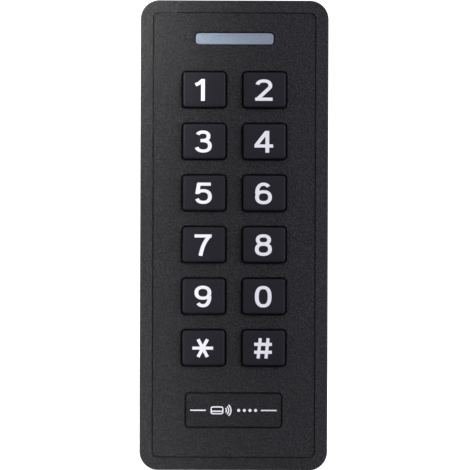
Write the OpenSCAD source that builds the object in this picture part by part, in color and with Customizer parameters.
// Slim wall-mounted keypad access reader: two columns of keys by six rows, a status light above them
// and a name plate below, with the circuit board, keypad mat and proximity coil inside.
//
// Frame: the origin is on the wall, at the centre of the wall plate's back. The wall is the plane
// y = 0, the face looks along -Y, +X is to the right of someone facing the reader, and +Z is up.
// Sizes are millimetres. A depth is a distance out from the wall, so depth 5 is y = -5.

/* [Casing] */
// Width of the casing
body_w = 50; // [41:1:70]
// Height of the casing
body_h = 125; // [125:1:170]
// Depth of the casing, from the wall to its face
body_depth = 21.5; // [21.5:0.5:30]
// Thickness of the casing's walls and face
wall = 2.2; // [1.8:0.1:2.6]
// Corner radius of the casing, seen from the front
corner_r = 5; // [4:0.5:8]
// Depth of the line where the front cover meets the rear cover
parting = 8.5; // [8:0.5:10]
// Width of the sloping rim between the face and the side
rim_w = 3.5; // [2.5:0.5:4.5]
// How far the sloping rim falls back from the face
rim_drop = 0.9; // [0.3:0.1:1.5]
// Radius of the edge between the rim and the side
edge_r = 0.8; // [0.4:0.1:1.5]
// Width of the line cut round the face
groove_w = 0.35; // [0.2:0.05:0.6]
// Depth of the line cut round the face
groove_d = 0.35; // [0.2:0.05:0.6]
// Thickness of the rear cover's floor
floor_t = 2; // [1.6:0.1:2.4]
// Space between the casing's back edge and the wall
wall_gap = 0.4; // [0.2:0.1:0.8]

/* [Keys] */
// Distance between the columns' centres
key_pitch_x = 16; // [14:0.5:19]
// Distance between the rows' centres
key_pitch_z = 13.7; // [12:0.1:13.7]
// Distance from the casing's top edge to the first row's centre
key_inset = 23.9; // [22:0.1:26]
// Width of the opening that a key stands in
window_w = 12; // [10:0.1:14.4]
// Height of the opening that a key stands in
window_h = 10; // [8:0.1:12]
// Corner radius of the opening
window_r = 1.2; // [0.6:0.1:2]
// Gap between a key and its opening, all round
key_gap = 0.35; // [0.2:0.05:0.6]
// How far a key stands out of the face
key_rise = 1.3; // [1.2:0.1:3]
// How far a key travels when it is pressed
key_travel = 1.1; // [0.6:0.1:1.2]
// Width of the lip that keeps a key behind the face
key_lip = 0.5; // [0.3:0.1:0.7]
// Thickness of that lip
lip_t = 1; // [0.6:0.1:1.2]
// Free height of the flexible web under a key
web_h = 2.7; // [2.4:0.1:3.5]
// Thickness of the flexible web
web_t = 0.55; // [0.3:0.05:0.8]
// Thickness of the keypad mat
mat_t = 1.2; // [0.8:0.1:1.5]
// Diameter of a key's contact pill
pill_d = 4.8; // [3:0.1:5]

/* [Status light and name plate] */
// Width of the status light
lens_w = 20.8; // [14:0.1:26]
// Height of the status light
lens_h = 3.2; // [2:0.1:4]
// Distance from the casing's top edge to the status light's centre
lens_inset = 10.35; // [9.5:0.1:11]
// How far the status light stands out of the face
lens_rise = 0.2; // [0:0.05:0.5]
// Gap round the status light and the name plate
inlay_gap = 0.2; // [0.1:0.05:0.3]
// Width of the name plate
plate_w = 25.5; // [18:0.1:30]
// Height of the name plate
plate_h = 9.1; // [6:0.1:11]
// Thickness of the name plate
plate_t = 0.8; // [0.4:0.1:1]
// Distance from the casing's bottom edge to the name plate's centre
plate_inset = 16; // [12:0.1:16]

/* [Circuit board] */
// Thickness of the circuit board
board_t = 1.6; // [1:0.1:1.6]
// Gap between the circuit board and the casing's side walls
board_gap = 1; // [0.5:0.1:1.5]
// Thickness of the contact pads
pad_t = 0.05; // [0.03:0.01:0.1]

/* [Wall mounting] */
// Thickness of the steel wall plate
bracket_t = 1.5; // [1:0.1:1.8]
// Gap between the wall plate and the casing round it
bracket_gap = 0.6; // [0.3:0.1:1]
// Diameter of the wall plate's screw holes, and width of its slots
fix_d = 4.3; // [3.5:0.1:5]
// Distance between the screw holes
gang_pitch = 83.3; // [70:0.1:90]
// Distance between the slots
box_pitch = 60; // [50:1:62]
// Length of a slot, end to end
slot_l = 8; // [6:0.5:9]
// Diameter of the cable hole in the wall plate
cable_hole_d = 20; // [16:0.5:24]
// Diameter of the cable hole in the grommet
cable_d = 6.2; // [4:0.1:7]

/* [Tamper switch] */
// Diameter of the tamper plunger
plunger_d = 3; // [2:0.1:3.5]
// How far the plunger springs out when the reader leaves the wall
plunger_travel = 1.4; // [0.8:0.1:1.5]

/* [Hidden] */
$fn = 48;
cut = 0.1;                                        // how far a cut runs past the surface it opens
key_names = ["1", "2", "3", "4", "5", "6", "7", "8", "9", "0", "star", "hash"];
KEYS = [for (k = key_names) str("key_", k)];
WEBS = [for (k = key_names) str("key_web_", k)];
key_cols = 2;
key_rows = len(KEYS) / key_cols;

top = body_h / 2;                                 // z of the casing's top edge
inner_w = body_w - 2 * wall;
inner_h = body_h - 2 * wall;
inner_r = corner_r - wall;
ceiling = body_depth - wall;                      // depth of the inside of the face

// Rear cover and wall plate
floor_back = 2.6;                                 // depth of the rear cover's floor, wall side
floor_front = floor_back + floor_t;
bracket_w = inner_w - 2 * bracket_gap;
bracket_h = inner_h - 2 * bracket_gap;

// Clearance on the diameter of a screw's shaft and head
screw_clear = 0.5;
head_clear = 0.4;

// Screws that join the casing, one in each corner
case_x = body_w / 2 - 5.6;
case_z = body_h / 2 - 6;
case_screw_d = 2.6;
case_boss_d = 5.6;
case_tower_d = 8.2;
case_head_d = 5.2;
case_head_h = 2;
case_head_seat = 5.8;                             // depth of the face that the heads pull on
case_screw_l = 8;                                 // length in the front cover's boss
screw_end_gap = 0.5;                              // from a screw's end to the bottom of its hole

// Seal between the covers
seal_w = 1;
seal_h = 0.9;
seal_inset = 0.6;                                 // from the casing's side to the seal

// Keys, from the outside in
key_w = window_w - 2 * key_gap;
key_h = window_h - 2 * key_gap;
key_r = window_r - key_gap;
key_edge = 0.45;                                  // chamfer round a key's top
lip_gap = 0.2;                                    // free space between the lip and the face
lip_w = window_w + 2 * key_lip;
lip_h = window_h + 2 * key_lip;
lip_front = ceiling - lip_gap;
lip_back = lip_front - lip_t;
mat_front = lip_back - web_h;
board_front = mat_front - mat_t;
board_back = board_front - board_t;
touch_gap = 0.05;                                 // what is left between pill and pad at full travel
pill_back = board_front + pad_t + touch_gap + key_travel;
pill_t = 0.5;
stem_w = key_w - 4.1;
stem_h = key_h - 3.7;
stem_r = 1.5;
web_base_w = lip_w - 0.2;
web_base_h = lip_h - 0.2;
web_r = 2;

// Keypad mat
mat_margin = 1.7;                                 // from a lip's edge to the mat's edge
mat_w = (key_cols - 1) * key_pitch_x + lip_w + 2 * mat_margin;
mat_h = (key_rows - 1) * key_pitch_z + lip_h + 2 * mat_margin;
mat_r = 2.5;
rib_t = 1.2;                                      // wall that clamps the mat's edge
keys_z = top - key_inset - (key_rows - 1) * key_pitch_z / 2;
mat_pin_d = 1.6;                                  // pins that hold the mat down between the keys

// Status light
lens_z = top - lens_inset;
lens_r = 0.75;
lens_lip = 1.5;
lens_lip_t = 1;
light_wall = 1.3;
led_pitch = 7;
led_h = 1.9;
led_gap = 0.2;                                    // from a status LED to the light box's walls
led_w = 3.2;

// Lights beside each key's stem
back_led = [0.8, 0.6, 1.6];                       // width, thickness and height
back_led_gap = 0.8;                               // from the stem to a light

// Name plate
plate_z = plate_inset - top;
plate_r = 0.95;

// Security screw, its pocket in the rear cover and the wall plate's tab
tab_w = 11;
tab_depth = 7.6;                                  // depth that the tab reaches
tab_hole_depth = 4.4;                             // depth of the security screw's axis
tab_z = -bracket_h / 2;                           // outer face of the tab
screw_d = 3;
screw_head_d = 5.2;
screw_head_h = 1.2;
screw_sink = 0.1;                                 // how far the security screw's head lies below the surface
nut_shank_d = screw_d + 1.2;
nut_d = 5.4;
nut_l = 2.5;
screw_past_nut = 0.5;                             // how far the security screw comes through the nut
relief_w = 1.2;
relief_h = 2.6;
pocket_gap = 0.8;
pocket_wall = 1.3;
pocket_w = tab_w + 2 * pocket_gap + 2;
pocket_top = tab_z + bracket_t + nut_l + 2 * pocket_gap;
pocket_depth = tab_depth + pocket_gap;

// Hooks that the casing hangs on
hook_x = 12;
hook_w = 6;
hook_t = 1.2;
hook_z = top - 12.9;                              // underside of a hook's leg
hook_lip_h = 2.5;
hook_depth = 5.2;
hook_gap = 0.3;
hook_entry = hook_lip_h + 2 * hook_gap;           // how far the casing is lifted to come off the hooks
ledge_t = 1.2;
hook_window_h = hook_depth - bracket_t + hook_lip_h;

// Circuit board
board_w = inner_w - 2 * board_gap;
board_top = top - wall - 2.8;
board_bottom = pocket_top + pocket_wall + 2.5;
board_h = board_top - board_bottom;
board_z = (board_top + board_bottom) / 2;
post_d = 4.6;
post_x = board_w / 2 - 2.8;
post_zs = [keys_z + mat_h / 2 + post_d / 2 + 0.4,
           min(keys_z - mat_h / 2 - post_d / 2 - 0.4, board_bottom + 10.5)];
board_screw_d = 1.8;
board_head_d = 4;
board_head_h = 1.4;
board_screw_l = 4;
boss_clear = 0.6;                                 // round the casing's bosses

// Proximity coil, flat on the board's back between its screws
coil_w = board_w - 1.6;
coil_band = 3;
coil_t = 1.5;
coil_r = 6;
coil_ends = [post_zs[1] + board_head_d / 2 + 0.5, post_zs[0] - board_head_d / 2 - 0.5];
coil_h = coil_ends[1] - coil_ends[0];
coil_z = (coil_ends[0] + coil_ends[1]) / 2;

// Tamper switch
tamper_x = -11;
tamper_z = -27;
tamper_size = 7;
tamper_near = floor_front + 1.7;                  // depth of the switch's open end
tamper_lip = 0.8;
tamper_bore = 5;
piston_d = 4.6;
piston_t = 0.8;
stop_gap = 0.1;                                   // between the piston and the lip at full travel
piston_near = tamper_near + tamper_lip + stop_gap + plunger_travel;
spring_d = 4.4;
spring_wire = 0.4;
spring_turns = 3.5;
tamper_floor = board_back - 1;                    // depth of the bore's closed end
plunger_slide = 0.2;                              // radial clearance round the plunger
seal_slide = 0.1;
tamper_hole_d = plunger_d + 2;

// Board components
buzzer_at = [9.5, 31];
buzzer_d = 12;
buzzer_h = 5.5;
chip_at = [-4, 20];
chip_size = 10;
chip_body = 8;
chip_t = 1.4;
leg_t = 0.2;
logic_at = [[-12, 33], [10.5, 15.5], [11, -27]];
capacitor_at = [11.5, 5];
capacitor_d = 6.3;
capacitor_h = 7.2;
inductor_at = [-11.5, 5];
header_z = -15.5;
header_w = 22;
header_h = 5.8;
header_t = 6.4;
header_pins_n = 10;

// Cable grommet
cable_z = 0;
grommet_seat_d = 11;

// ---- shapes ----

// Rectangle with round corners
module plate(w, h, r) {
    square([w - 2 * r, h], center = true);
    square([w, h - 2 * r], center = true);
    for (sx = [-1, 1], sy = [-1, 1]) translate([sx * (w / 2 - r), sy * (h / 2 - r)]) circle(r);
}

// Slab with round corners, facing the wall, between two depths
module slab(w, h, r, near, far)
    translate([0, -near, 0]) rotate([90, 0, 0]) linear_extrude(far - near) plate(w, h, r);

// Plain block between two depths
module block(w, h, near, far) translate([-w / 2, -far, -h / 2]) cube([w, far - near, h]);

// Round bar across the wall, between two depths
module bar(d, near, far) translate([0, -near, 0]) rotate([90, 0, 0]) cylinder(d = d, h = far - near);

// Bar whose diameter changes from its near end to its far end
module taper(d_near, d_far, near, far)
    translate([0, -near, 0]) rotate([90, 0, 0]) cylinder(d1 = d_near, d2 = d_far, h = far - near);

module at(x, z) translate([x, 0, z]) children();
module both_sides(x) for (s = [-1, 1]) at(s * x, 0) children();
module four_corners(x, z) for (sx = [-1, 1], sz = [-1, 1]) at(sx * x, sz * z) children();

function key_x(i) = (i % key_cols - (key_cols - 1) / 2) * key_pitch_x;
function key_z(i) = top - key_inset - floor(i / key_cols) * key_pitch_z;
module each_key() for (i = [0:len(KEYS) - 1]) at(key_x(i), key_z(i)) children();

// ---- casing ----

// Outer form of the front cover: straight sides, a rounded edge, a sloping rim and a flat face
module front_form()
    hull() {
        // quarter-round edge in four steps
        for (a = [0, 30, 60, 90]) {
            inset = edge_r * (1 - cos(a));
            slab(body_w - 2 * inset, body_h - 2 * inset, corner_r - inset,
                 parting, body_depth - rim_drop - edge_r * (1 - sin(a)), $fn = 32);
        }
        slab(body_w - 2 * rim_w, body_h - 2 * rim_w, corner_r - rim_w, parting, body_depth, $fn = 32);
    }

module face_groove()
    difference() {
        slab(body_w - 2 * rim_w + groove_w, body_h - 2 * rim_w + groove_w, corner_r - rim_w + groove_w / 2,
             body_depth - groove_d, body_depth + cut);
        slab(body_w - 2 * rim_w - groove_w, body_h - 2 * rim_w - groove_w, corner_r - rim_w - groove_w / 2,
             body_depth - groove_d - cut, body_depth + 2 * cut);
    }

// Wall behind the face that presses the mat's edge onto the circuit board
module mat_rib()
    at(0, keys_z) difference() {
        slab(mat_w, mat_h, mat_r, mat_front, ceiling + cut);
        slab(mat_w - 2 * rib_t, mat_h - 2 * rib_t, mat_r - rib_t, mat_front - cut, ceiling + 2 * cut);
    }

module mat_pins()
    for (row = [0:key_rows - 2])
        at(0, key_z(row * key_cols) - key_pitch_z / 2) bar(mat_pin_d, mat_front, ceiling + cut);

module front_cover()
    color("#323236") difference() {
        union() {
            difference() {
                front_form();
                slab(inner_w, inner_h, inner_r, parting - cut, ceiling);
            }
            four_corners(case_x, case_z) bar(case_boss_d, parting, ceiling + cut);
            for (z = post_zs) at(0, z) both_sides(post_x) bar(post_d, board_front, ceiling + cut);
            mat_rib();
            mat_pins();
        }
        each_key() slab(window_w, window_h, window_r, ceiling - cut, body_depth + cut);
        at(0, lens_z) slab(lens_w + 2 * inlay_gap, lens_h + 2 * inlay_gap, lens_r + inlay_gap,
                           ceiling - cut, body_depth + cut);
        at(0, plate_z) slab(plate_w + 2 * inlay_gap, plate_h + 2 * inlay_gap, plate_r + inlay_gap,
                            body_depth - plate_t, body_depth + cut);
        face_groove();
        four_corners(case_x, case_z) bar(case_screw_d, parting - cut, parting + case_screw_l + screw_end_gap);
        for (z = post_zs) at(0, z) both_sides(post_x)
            bar(board_screw_d, board_front - cut, board_front + board_screw_l + screw_end_gap);
    }

// Space round the wall plate's tab and nut, open to the wall side
module tab_pocket(grow, near, far)
    translate([-pocket_w / 2 - grow, -far, -inner_h / 2])
        cube([pocket_w + 2 * grow, far - near, pocket_top + inner_h / 2 + grow]);

// Block that a hook's pocket is cut in
module hook_block()
    translate([-hook_w / 2 - hook_gap - ledge_t, -hook_depth - hook_gap - ledge_t,
               hook_z - hook_entry - ledge_t])
        cube([hook_w + 2 * (hook_gap + ledge_t), hook_depth + hook_gap + ledge_t - floor_back,
              hook_entry + hook_t + hook_lip_h + 2 * (hook_gap + ledge_t)]);

// Opening that lets a hook in, and the undercut that it slides up behind
module hook_pocket() {
    translate([-hook_w / 2 - hook_gap, -hook_depth - hook_gap, hook_z - hook_entry])
        cube([hook_w + 2 * hook_gap, hook_depth + hook_gap - floor_back + cut,
              hook_entry + hook_t + 2 * hook_gap]);
    translate([-hook_w / 2 - hook_gap, -hook_depth - hook_gap, hook_z])
        cube([hook_w + 2 * hook_gap, hook_depth + hook_gap - floor_back - ledge_t,
              hook_t + hook_lip_h + 2 * hook_gap]);
}

module seal_ring(extra = 0)
    difference() {
        slab(body_w - 2 * seal_inset, body_h - 2 * seal_inset, corner_r - seal_inset,
             parting - seal_h, parting + extra);
        slab(body_w - 2 * (seal_inset + seal_w), body_h - 2 * (seal_inset + seal_w),
             corner_r - seal_inset - seal_w, parting - seal_h - cut, parting + extra + cut);
    }

module rear_cover()
    color("#2c2c30") difference() {
        union() {
            difference() {
                slab(body_w, body_h, corner_r, wall_gap, parting);
                slab(inner_w, inner_h, inner_r, floor_front, parting + cut);
                slab(inner_w, inner_h, inner_r, wall_gap - cut, floor_back);
            }
            four_corners(case_x, case_z) bar(case_tower_d, floor_back, parting);
            tab_pocket(pocket_wall, floor_back, pocket_depth + pocket_wall);
            both_sides(hook_x) hook_block();
        }
        tab_pocket(0, floor_back - cut, pocket_depth);
        both_sides(hook_x) hook_pocket();
        seal_ring(cut);
        four_corners(case_x, case_z) {
            bar(case_head_d + head_clear, floor_back - cut, case_head_seat);
            bar(case_screw_d + screw_clear, case_head_seat - cut, parting + cut);
        }
        at(0, cable_z) bar(grommet_seat_d, floor_back - cut, floor_front + cut);
        at(tamper_x, tamper_z) bar(plunger_d + 2 * plunger_slide, floor_back - cut, floor_front + cut);
        // security screw: clearance hole and sunk head
        translate([0, -tab_hole_depth, -body_h / 2 - cut])
            cylinder(d = screw_d + screw_clear, h = wall + 2 * cut);
        translate([0, -tab_hole_depth, -body_h / 2 - cut])
            cylinder(d = screw_head_d + head_clear, h = screw_head_h + screw_sink + cut);
    }

module casing_seal() color("#1a1a1a") seal_ring();

module case_screws()
    color("silver") four_corners(case_x, case_z) difference() {
        union() {
            bar(case_head_d, case_head_seat - case_head_h, case_head_seat);
            bar(case_screw_d, case_head_seat, parting + case_screw_l);
        }
        // cross recess in the head
        for (turn = [0, 90]) rotate([0, turn, 0])
            block(2.8, 0.7, case_head_seat - case_head_h - cut, case_head_seat - case_head_h + 1.1);
    }

// ---- wall plate ----

module wall_hook() {
    translate([-hook_w / 2, -hook_depth, hook_z]) cube([hook_w, hook_depth - bracket_t + cut, hook_t]);
    translate([-hook_w / 2, -hook_depth, hook_z]) cube([hook_w, hook_t - 0.1, hook_t + hook_lip_h]);
}

// Long hole, its ends round
module slot(near, far) {
    for (s = [-1, 1]) at(0, s * (slot_l - fix_d) / 2) bar(fix_d, near, far);
    block(fix_d, slot_l - fix_d, near, far);
}

module wall_plate()
    color("#b9bcc0") difference() {
        union() {
            slab(bracket_w, bracket_h, inner_r - bracket_gap, 0, bracket_t);
            both_sides(hook_x) wall_hook();
            translate([-tab_w / 2, -tab_depth, tab_z]) cube([tab_w, tab_depth, bracket_t]);
        }
        at(0, cable_z) bar(cable_hole_d, -cut, bracket_t + cut);
        for (s = [-1, 1]) {
            at(0, s * gang_pitch / 2) bar(fix_d, -cut, bracket_t + cut);
            at(0, s * box_pitch / 2) slot(-cut, bracket_t + cut);
            // relief beside the tab's bend
            translate([s * (tab_w + relief_w) / 2 - relief_w / 2, -bracket_t - cut, tab_z - cut])
                cube([relief_w, bracket_t + 2 * cut, relief_h + cut]);
        }
        // windows that the hooks were bent out of
        both_sides(hook_x) translate([-hook_w / 2, -bracket_t - cut, hook_z + hook_t])
            cube([hook_w, bracket_t + 2 * cut, hook_window_h]);
        at(tamper_x, tamper_z) bar(tamper_hole_d, -cut, bracket_t + cut);
        // hole for the nut's shank
        translate([0, -tab_hole_depth, tab_z - cut]) cylinder(d = nut_shank_d, h = bracket_t + 2 * cut);
    }

// Pressed nut: a collar inside the tab and a shank through it
module wall_plate_nut()
    color("#d9b45a") translate([0, -tab_hole_depth, tab_z]) difference() {
        union() {
            cylinder(d = nut_shank_d, h = bracket_t);
            translate([0, 0, bracket_t]) cylinder(d = nut_d, h = nut_l);
        }
        translate([0, 0, -cut]) cylinder(d = screw_d, h = bracket_t + nut_l + 2 * cut);
    }

module security_screw()
    color("silver") translate([0, -tab_hole_depth, -body_h / 2 + screw_sink]) difference() {
        union() {
            cylinder(d = screw_head_d, h = screw_head_h);
            cylinder(d = screw_d, h = tab_z + bracket_t + nut_l + screw_past_nut + body_h / 2 - screw_sink);
        }
        // round socket with a centre pin, so that only its own key turns it
        translate([0, 0, -cut]) difference() {
            cylinder(d = 2.6, h = 0.9 + cut);
            cylinder(d = 0.8, h = 0.9 + cut);
        }
    }

module cable_grommet()
    color("#202022") at(0, cable_z) difference() {
        union() {
            bar(grommet_seat_d + 3, floor_back - 0.7, floor_back);
            bar(grommet_seat_d, floor_back, floor_front);
            bar(grommet_seat_d + 3, floor_front, floor_front + 1);
            taper(grommet_seat_d - 1, grommet_seat_d - 3, floor_front + 1, floor_front + 3);
        }
        bar(cable_d, floor_back - 1, floor_front + 3 + cut);
    }

// ---- face inlays ----

module name_plate()
    color("#2e2e32") at(0, plate_z) slab(plate_w, plate_h, plate_r, body_depth - plate_t, body_depth);

module status_lens()
    color("#93a3ae") at(0, lens_z) {
        slab(lens_w, lens_h, lens_r, ceiling - cut, body_depth + lens_rise);
        slab(lens_w + 2 * lens_lip, lens_h + 2 * lens_lip, lens_r + lens_lip, ceiling - lens_lip_t, ceiling);
    }

// White tube that keeps the status light's colours out of the keypad
module light_box()
    color("white") at(0, lens_z) difference() {
        slab(lens_w + 2 * light_wall, lens_h + 2 * light_wall, lens_r + light_wall,
             board_front, ceiling - lens_lip_t);
        slab(lens_w, lens_h, lens_r, board_front - cut, ceiling - lens_lip_t + cut);
    }

// ---- circuit board ----

module circuit_board()
    color("#1f5a35") difference() {
        at(0, board_z) slab(board_w, board_h, 1.5, board_back, board_front);
        both_sides(case_x) at(0, case_z) bar(case_boss_d + 2 * boss_clear, board_back - cut, board_front + cut);
        for (z = post_zs) at(0, z) both_sides(post_x)
            bar(board_screw_d + screw_clear, board_back - cut, board_front + cut);
    }

module board_screws()
    color("silver") for (z = post_zs) at(0, z) both_sides(post_x) difference() {
        union() {
            bar(board_head_d, board_back - board_head_h, board_back);
            bar(board_screw_d, board_back, board_front + board_screw_l);
        }
        for (turn = [0, 90]) rotate([0, turn, 0])
            block(2.2, 0.5, board_back - board_head_h - cut, board_back - board_head_h + 0.7);
    }

// Two combs of gold fingers under each key
module contact_pads()
    color("gold") each_key() {
        pad_d = pill_d + 0.4;
        finger = 0.4;
        for (side = [-1, 1]) intersection() {
            bar(pad_d, board_front, board_front + pad_t);
            union() {
                at(side * pad_d / 2, 0) block(1.6, pad_d, board_front, board_front + pad_t);
                for (i = [-1:1]) at(side * 0.5, (2 * i + side / 2) * finger * 1.9)
                    block(pad_d - 1.4, finger, board_front, board_front + pad_t);
            }
        }
    }

module status_leds()
    color("#f2efe2") for (i = [-1:1])
        at(i * led_pitch, lens_z) block(led_w, lens_h - 2 * led_gap, board_front, board_front + led_h);

module backlight_leds()
    color("#f2efe2") each_key()
        both_sides((stem_w + back_led.x) / 2 + back_led_gap)
            block(back_led.x, back_led.z, board_front, board_front + back_led.y);

module microcontroller()
    color("#222222") at(chip_at.x, chip_at.y) {
        block(chip_body, chip_body, board_back - chip_t, board_back - leg_t / 2);
        // legs along the four sides
        for (turn = [0:90:270], i = [-5:5]) rotate([0, turn, 0])
            at((chip_size + chip_body) / 4 - cut, i * 0.65)
                block((chip_size - chip_body) / 2 + 2 * cut, 0.25, board_back - leg_t, board_back);
    }

module logic_chips()
    color("#222222") for (p = logic_at) at(p.x, p.y) {
        block(4, 5, board_back - chip_t, board_back - leg_t / 2);
        for (side = [-1, 1], i = [-1.5:1.5]) at(side * 2.5, i * 1.27)
            block(1.2, 0.4, board_back - leg_t, board_back);
    }

// Resistors and small capacitors in rows beside the chips
module small_components()
    color("#8a7a66") for (row = [0:2], i = [0:4])
        at(-13 + 2.6 * i, -9 + 2.4 * row) block(1.6, 0.8, board_back - 0.55, board_back);

module supply_capacitor()
    color("#c9ccd0") at(capacitor_at.x, capacitor_at.y)
        bar(capacitor_d, board_back - capacitor_h, board_back);

module power_inductor()
    color("#3a3a3c") at(inductor_at.x, inductor_at.y) difference() {
        slab(6, 6, 1, board_back - 3, board_back);
        bar(3.4, board_back - 3 - cut, board_back - 2.7);
    }

module buzzer()
    color("#18181a") at(buzzer_at.x, buzzer_at.y) difference() {
        bar(buzzer_d, board_back - buzzer_h, board_back);
        bar(2.2, board_back - buzzer_h - cut, board_back - buzzer_h + 1.2);
    }

// Racetrack of enamelled wire that reads the cards
module antenna_coil()
    color("#b0623a") at(0, coil_z) difference() {
        slab(coil_w, coil_h, coil_r, board_back - coil_t, board_back);
        slab(coil_w - 2 * coil_band, coil_h - 2 * coil_band, coil_r - coil_band,
             board_back - coil_t - cut, board_back + cut);
    }

// Shrouded socket, open towards the wall
module wire_header()
    color("#e8e4d8") at(0, header_z) difference() {
        block(header_w, header_h, board_back - header_t, board_back);
        block(header_w - 1.6, header_h - 1.6, board_back - header_t - cut, board_back - 1.4);
        // latch slot in the lower side
        at(0, -header_h / 2) block(6, 2, board_back - header_t - cut, board_back - 3.4);
    }

module header_pins()
    color("gold") for (i = [0:header_pins_n - 1])
        at((i - (header_pins_n - 1) / 2) * 2, header_z)
            block(0.6, 0.6, board_back - header_t + 1.2, board_back - 1.4);

// ---- tamper switch ----

module tamper_switch()
    color("#2a2a2c") at(tamper_x, tamper_z) difference() {
        block(tamper_size, tamper_size, tamper_near, board_back);
        bar(plunger_d + 2 * plunger_slide, tamper_near - cut, tamper_near + tamper_lip + cut);
        bar(tamper_bore, tamper_near + tamper_lip, tamper_floor);
    }

// Pin that touches the wall through the wall plate
module tamper_plunger()
    color("#d8d8d4") at(tamper_x, tamper_z) {
        bar(plunger_d, 0, piston_near + 0.1);
        bar(piston_d, piston_near, piston_near + piston_t);
    }

// Round wire swept along a helix; a ring of sides points at each step
function helix_point(t, r, len) = [r * cos(360 * spring_turns * t), -len * t, r * sin(360 * spring_turns * t)];
function helix_ring(t, r, len, wire, sides) =
    let (a = 360 * spring_turns * t, out = [cos(a), 0, sin(a)], c = helix_point(t, r, len))
        [for (j = [0:sides - 1]) c + wire / 2 * (cos(360 * j / sides) * out + sin(360 * j / sides) * [0, 1, 0])];

module tamper_spring()
    color("silver") at(tamper_x, tamper_z) {
        near = piston_near + piston_t + spring_wire / 2;
        steps = 56;
        sides = 8;
        points = [for (i = [0:steps]) each helix_ring(i / steps, (spring_d - spring_wire) / 2,
                                                      tamper_floor - spring_wire / 2 - near, spring_wire, sides)];
        skin = [for (i = [0:steps - 1], j = [0:sides - 1])
            let (a = i * sides + j, b = i * sides + (j + 1) % sides) [a, b, b + sides, a + sides]];
        ends = [[for (j = [sides - 1:-1:0]) j], [for (j = [0:sides - 1]) steps * sides + j]];
        translate([0, -near, 0]) polyhedron(points, concat(skin, ends));
    }

module tamper_seal()
    color("#202022") at(tamper_x, tamper_z) difference() {
        bar(plunger_d + 4, floor_front, floor_front + 1);
        bar(plunger_d + 2 * seal_slide, floor_front - cut, floor_front + 1 + cut);
    }

// ---- keypad ----

module key_mat()
    color("#3a3a3e") difference() {
        at(0, keys_z) slab(mat_w, mat_h, mat_r, board_front, mat_front);
        each_key() slab(web_base_w - 2 * web_t, web_base_h - 2 * web_t, web_r - web_t,
                        board_front - cut, mat_front + cut);
    }

// One key: its cap, the lip behind the face, the stem and the contact pill
module key(i)
    color("#2a2930") at(key_x(i), key_z(i)) {
        hull() {
            slab(key_w, key_h, key_r, lip_front, body_depth + key_rise - key_edge);
            slab(key_w - 2 * key_edge, key_h - 2 * key_edge, key_r - 0.2, lip_front, body_depth + key_rise);
        }
        slab(lip_w, lip_h, window_r + key_lip, lip_back, lip_front);
        slab(stem_w, stem_h, stem_r, pill_back + pill_t, lip_back);
        bar(pill_d, pill_back, pill_back + pill_t);
    }

// One flexible web, from the mat up to the key's lip
module key_web(i)
    color("#3a3a3e") at(key_x(i), key_z(i)) difference() {
        web_form(0, 0);
        web_form(web_t, cut);
    }

// Tapered block from the mat up to the lip, made smaller by inset and longer by past
module web_form(inset, past)
    hull() {
        slab(web_base_w - 2 * inset, web_base_h - 2 * inset, web_r - inset, mat_front - past, mat_front + 0.02,
             $fn = 24);
        slab(stem_w + 2 * (web_t - inset), stem_h + 2 * (web_t - inset), stem_r + web_t - inset,
             lip_back - 0.02, lip_back + past, $fn = 24);
    }

front_cover();
rear_cover();
wall_plate();
wall_plate_nut();
security_screw();
case_screws();
board_screws();
casing_seal();
cable_grommet();
name_plate();
status_lens();
light_box();
status_leds();
backlight_leds();
circuit_board();
contact_pads();
microcontroller();
logic_chips();
small_components();
supply_capacitor();
power_inductor();
buzzer();
antenna_coil();
wire_header();
header_pins();
tamper_switch();
tamper_plunger();
tamper_spring();
tamper_seal();
key_mat();
for (i = [0:len(KEYS) - 1]) {
    key(i);
    key_web(i);
}
